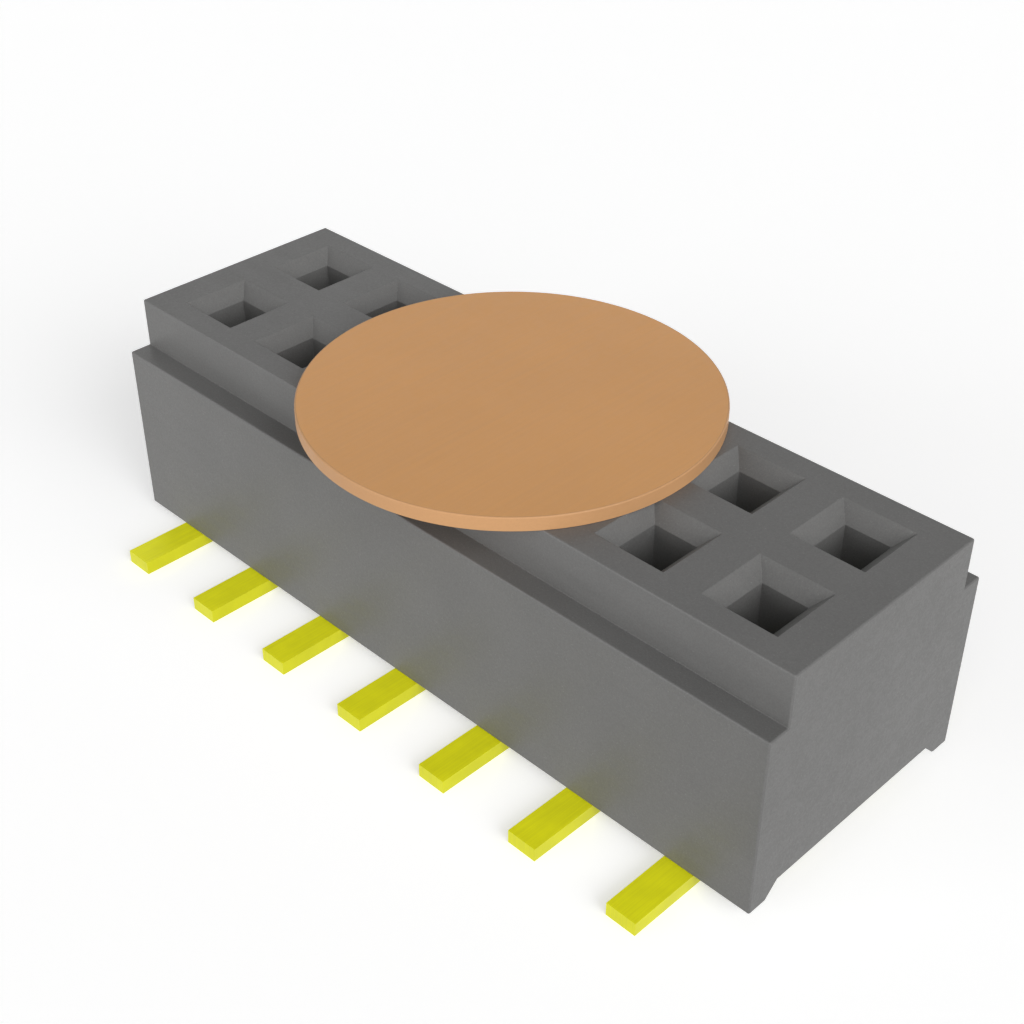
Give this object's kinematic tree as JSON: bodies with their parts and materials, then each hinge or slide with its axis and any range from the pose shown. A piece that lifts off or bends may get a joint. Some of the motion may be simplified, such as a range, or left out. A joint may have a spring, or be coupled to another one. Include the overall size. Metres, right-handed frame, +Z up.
{
  "type": "pcb socket",
  "caption": "Surface-mount board socket strip: funnel entries over spring contacts with flat solder tails, moulded housing and a round film pad for vacuum pickup.",
  "frame": {"origin": "on the board plane, under the middle of the housing", "axes": "+X along the contact rows, +Y from the front row to the rear row, +Z up from the board"},
  "size_m": [0.0074, 0.0038, 0.0024],
  "materials": {
    "housing_plastic": "satin",
    "contact_plating": "polished",
    "pad_film": "satin"
  },
  "bodies": {
    "root": {"housing": "housing_plastic", "pickup_pad": "pad_film", "contact_front_1": "contact_plating", "contact_front_2": "contact_plating", "contact_front_3": "contact_plating", "contact_front_4": "contact_plating", "contact_front_5": "contact_plating", "contact_front_6": "contact_plating", "contact_front_7": "contact_plating", "contact_rear_1": "contact_plating", "contact_rear_2": "contact_plating", "contact_rear_3": "contact_plating", "contact_rear_4": "contact_plating", "contact_rear_5": "contact_plating", "contact_rear_6": "contact_plating", "contact_rear_7": "contact_plating"}
  },
  "joints": []
}
